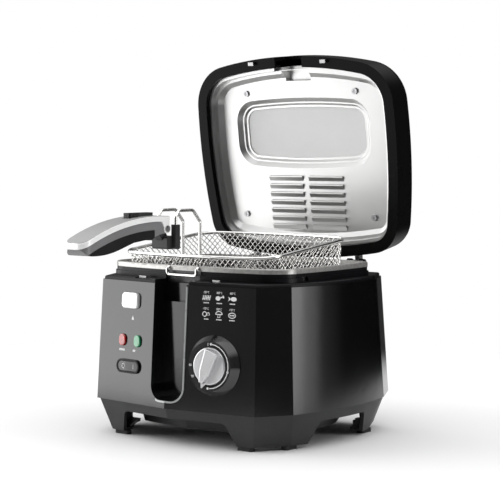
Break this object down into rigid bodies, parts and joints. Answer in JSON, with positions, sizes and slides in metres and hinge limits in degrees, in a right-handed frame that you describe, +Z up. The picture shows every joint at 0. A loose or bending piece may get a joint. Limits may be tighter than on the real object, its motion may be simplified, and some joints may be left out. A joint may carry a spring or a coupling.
{
  "type": "deep fryer",
  "caption": "Countertop deep fryer with an open sprung lid, wire basket on a fold-down handle, thermostat knob and rocker switch.",
  "frame": {"origin": "on the floor, midway between the outer faces of the rubber feet, under the middle of the housing", "axes": "+Z up, front controls towards -Y, +X to the right seen from the front"},
  "size_m": [0.263, 0.3853, 0.3859],
  "materials": {
    "gloss_black": "moulded gloss black",
    "lid_gloss_black": "moulded gloss black",
    "matte_black": "fine spark-eroded black",
    "satin_black": "satin black",
    "rubber": "black rubber",
    "zinc_steel": "plated",
    "bright_steel": "plain bright",
    "bright_tab": "bright",
    "pale_trim": "silver-painted bead",
    "coated_pan": "dark non-stick coating",
    "chrome_wire": "bright wire",
    "basket_weave": "woven bright wire",
    "heater_steel": "heat-tinted",
    "shield_sheet": "plain sheet",
    "switch_plastic": "heat-resistant plastic",
    "knob_ring_gloss": "gloss black with printed scale",
    "red_lens": "clear red",
    "green_lens": "clear green",
    "lamp_glass": "clear",
    "pressed_aluminium": "satin pressed sheet",
    "window_glass": "tempered",
    "filter_felt": "felt",
    "handle_grey": "satin grey",
    "handle_side_grey": "satin grey",
    "handle_silver": "satin silver-grey paint",
    "handle_black": "semi-gloss black",
    "handle_chrome": "plated",
    "knob_silver": "satin silver paint",
    "rocker_black": "gloss black, 0 and I marks",
    "button_silver": "satin silver paint"
  },
  "bodies": {
    "root": {"housing": "gloss_black", "base_skirt": "matte_black", "foot_pads": "rubber", "bottom_plate": "matte_black", "base_screws": "zinc_steel", "screw_posts": "matte_black", "deck_collar": "satin_black", "catch_tabs": "bright_tab", "recess_trim": "pale_trim", "hinge_brackets": "satin_black", "hinge_pins": "bright_steel", "hinge_spring": "bright_steel", "oil_pan": "coated_pan", "basket_rest": "chrome_wire", "heating_element": "heater_steel", "heat_shield": "shield_sheet", "thermostat": "switch_plastic", "thermal_fuse": "zinc_steel", "terminal_block": "switch_plastic", "cord_inlet": "matte_black", "knob_ring": "knob_ring_gloss", "switch_bezel": "satin_black", "switch_body": "switch_plastic", "red_lamp": "red_lens", "green_lamp": "green_lens", "lamp_holders": "lamp_glass", "button_spring": "bright_steel"},
    "lid": {"lid_shell": "lid_gloss_black", "lid_plate": "pressed_aluminium", "window_inner": "window_glass", "window_outer": "window_glass", "window_gasket": "rubber", "grease_filter": "filter_felt", "carbon_filter": "filter_felt", "plate_screws": "zinc_steel", "plate_posts": "matte_black", "hinge_arms": "bright_steel", "lid_catches": "bright_steel"},
    "basket": {"basket_frame": "chrome_wire", "basket_mesh": "basket_weave", "handle_wires": "chrome_wire", "handle_block": "handle_grey", "pivot_pin": "bright_steel"},
    "handle": {"handle_grip": "handle_silver", "handle_side": "handle_side_grey", "handle_base": "handle_black", "handle_trim": "handle_chrome"},
    "slider": {"handle_slider": "handle_grey"},
    "thermostat_knob": {"knob": "knob_silver", "knob_shaft": "bright_steel"},
    "power_switch": {"switch_rocker": "rocker_black"},
    "button": {"release_button": "button_silver"},
    "latch": {"latch_bar": "switch_plastic"}
  },
  "joints": [
    {"name": "lid_hinge", "type": "hinge", "parent": "root", "child": "lid", "pos_m": [0, 0.1074, 0.1676], "axis": [1, 0, 0], "range_deg": [0, 81.9], "stiffness_Nm_per_rad": 0.5, "springref_deg": -60},
    {"name": "basket_lift", "type": "slide", "parent": "root", "child": "basket", "axis": [0, 0, -1], "range_m": [0, 0.04701]},
    {"name": "handle_fold", "type": "hinge", "parent": "basket", "child": "handle", "pos_m": [0, -0.135, 0.2106], "axis": [1, 0, 0], "range_deg": [0, 88]},
    {"name": "handle_catch", "type": "slide", "parent": "handle", "child": "slider", "axis": [0, 1, 0], "range_m": [0, 0.003], "stiffness_N_per_m": 300, "springref_m": -0.002},
    {"name": "thermostat_turn", "type": "hinge", "parent": "root", "child": "thermostat_knob", "pos_m": [0.055, -0.11434, 0.081], "axis": [-0.1164, 0.9916, -0.0572], "range_deg": [0, 320]},
    {"name": "power_rocker", "type": "hinge", "parent": "root", "child": "power_switch", "pos_m": [-0.05365, -0.11201, 0.07183], "axis": [-0.0067, -0.0569, -0.9984], "range_deg": [0, 8]},
    {"name": "button_press", "type": "slide", "parent": "root", "child": "button", "axis": [0.1164, 0.9916, -0.0573], "range_m": [0, 0.0025], "stiffness_N_per_m": 400, "springref_m": -0.002},
    {"name": "latch_slide", "type": "slide", "parent": "root", "child": "latch", "axis": [0.1164, 0.9916, -0.0573], "range_m": [0, 0.0025]}
  ],
  "couplings": [
    {"joint": "basket_lift", "follows": "lid_hinge", "m_per_rad": 0.03288},
    {"joint": "latch_slide", "follows": "button_press", "ratio": 1}
  ]
}
